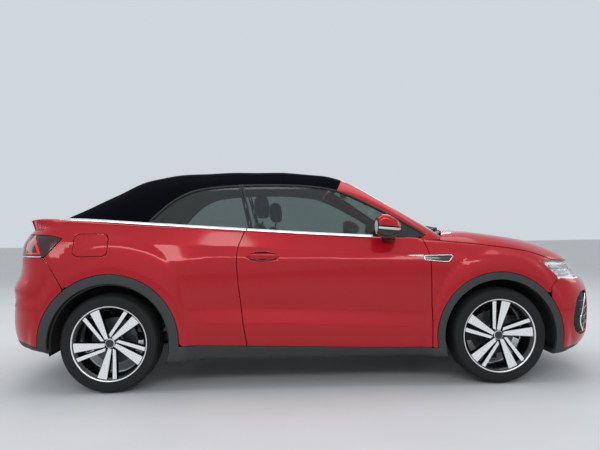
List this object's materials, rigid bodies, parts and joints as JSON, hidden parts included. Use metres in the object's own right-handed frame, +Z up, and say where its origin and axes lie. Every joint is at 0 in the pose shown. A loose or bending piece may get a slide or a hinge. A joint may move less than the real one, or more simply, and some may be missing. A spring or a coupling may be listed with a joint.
{
  "type": "convertible car",
  "caption": "Compact crossover car with two doors and a fabric soft top, shown closed, with opening doors, bonnet, boot lid and steered wheels.",
  "frame": {"origin": "on the ground, midway between the bumpers and under the centre line", "axes": "+X forward, +Y to the car's left, +Z up"},
  "size_m": [4.2694, 1.98, 1.5219],
  "materials": {
    "paint_red": "metallic clear-coated",
    "plastic_black": "grained moulded",
    "lamp_clear": "clear lens over bright reflectors",
    "lamp_red": "smoked red lens",
    "glass_tinted": "tinted laminated",
    "plate_white": "blank",
    "fabric_black": "woven acrylic",
    "steel_dark": "primer coated",
    "cast_block": "as cast",
    "steel_bright": "satin",
    "trim_grey": "soft grained",
    "trim_black": "smooth grain",
    "seat_cloth": "woven",
    "tyre": "matt rubber",
    "rim_alloy": "turned face, black pockets"
  },
  "bodies": {
    "body": {"cowl": "plastic_black", "dashboard": "trim_grey", "engine_block": "cast_block", "exhaust": "steel_bright", "floor_pan": "steel_dark", "front_bumper": "paint_red", "front_fenders": "paint_red", "front_seats": "seat_cloth", "front_skirt": "plastic_black", "front_suspension": "steel_dark", "grille": "plastic_black", "headlamps": "lamp_clear", "number_plates": "plate_white", "quarter_glasses": "glass_tinted", "rear_axle": "steel_dark", "rear_bench": "seat_cloth", "rear_bumper": "paint_red", "rear_quarters": "paint_red", "rear_skirt": "plastic_black", "rear_window": "glass_tinted", "sill_claddings": "plastic_black", "soft_top": "fabric_black", "tail_lamps": "lamp_red", "windscreen": "glass_tinted", "windscreen_frame": "paint_red"},
    "bonnet_body": {"bonnet": "paint_red"},
    "boot_lid_body": {"boot_lid": "paint_red"},
    "fuel_flap_body": {"fuel_flap": "paint_red"},
    "steering_wheel_body": {"steering_wheel": "trim_black"},
    "door_left_body": {"door_left": "paint_red", "door_glass_left": "glass_tinted", "mirror_left": "paint_red"},
    "door_right_body": {"door_right": "paint_red", "door_glass_right": "glass_tinted", "mirror_right": "paint_red"},
    "knuckle_left_body": {"knuckle_left": "steel_dark"},
    "knuckle_right_body": {"knuckle_right": "steel_dark"},
    "wheel_front_left": {"tyre_front_left": "tyre", "rim_front_left": "rim_alloy"},
    "wheel_front_right": {"tyre_front_right": "tyre", "rim_front_right": "rim_alloy"},
    "wheel_rear_left": {"tyre_rear_left": "tyre", "rim_rear_left": "rim_alloy"},
    "wheel_rear_right": {"tyre_rear_right": "tyre", "rim_rear_right": "rim_alloy"}
  },
  "joints": [
    {"name": "bonnet_hinge", "type": "hinge", "parent": "body", "child": "bonnet_body", "pos_m": [0.868, 0, 1.046], "axis": [0, -1, 0], "range_deg": [0, 52]},
    {"name": "boot_lid_hinge", "type": "hinge", "parent": "body", "child": "boot_lid_body", "pos_m": [-1.8, 0, 1.163], "axis": [0, 1, 0], "range_deg": [0, 78]},
    {"name": "fuel_flap_hinge", "type": "hinge", "parent": "body", "child": "fuel_flap_body", "pos_m": [-1.34, -0.876, 0.965], "axis": [0, 0.4848, 0.8746], "range_deg": [0, 95]},
    {"name": "door_left_hinge", "type": "hinge", "parent": "body", "child": "door_left_body", "pos_m": [0.884, 0.873, 0.65], "axis": [0, 0, -1], "range_deg": [0, 66]},
    {"name": "door_right_hinge", "type": "hinge", "parent": "body", "child": "door_right_body", "pos_m": [0.884, -0.873, 0.65], "axis": [0, 0, 1], "range_deg": [0, 66]},
    {"name": "steer_left", "type": "hinge", "parent": "body", "child": "knuckle_left_body", "pos_m": [1.2845, 0.701, 0.328], "axis": [0, 0, 1], "range_deg": [-35, 35]},
    {"name": "steer_right", "type": "hinge", "parent": "body", "child": "knuckle_right_body", "pos_m": [1.2845, -0.701, 0.328], "axis": [0, 0, 1], "range_deg": [-35, 35]},
    {"name": "steering_wheel_turn", "type": "hinge", "parent": "body", "child": "steering_wheel_body", "pos_m": [0.4, 0.37, 0.9], "axis": [-0.9135, 0, 0.4067], "range_deg": [-515, 515]},
    {"name": "spin_front_left", "type": "hinge", "parent": "knuckle_left_body", "child": "wheel_front_left", "pos_m": [1.2845, 0.773, 0.328], "axis": [0, 1, 0], "continuous": true},
    {"name": "spin_front_right", "type": "hinge", "parent": "knuckle_right_body", "child": "wheel_front_right", "pos_m": [1.2845, -0.773, 0.328], "axis": [0, 1, 0], "continuous": true},
    {"name": "spin_rear_left", "type": "hinge", "parent": "body", "child": "wheel_rear_left", "pos_m": [-1.3455, 0.773, 0.328], "axis": [0, 1, 0], "continuous": true},
    {"name": "spin_rear_right", "type": "hinge", "parent": "body", "child": "wheel_rear_right", "pos_m": [-1.3455, -0.773, 0.328], "axis": [0, 1, 0], "continuous": true}
  ],
  "couplings": [
    {"joint": "steer_right", "follows": "steer_left", "ratio": 1},
    {"joint": "steering_wheel_turn", "follows": "steer_left", "ratio": 14.6}
  ]
}
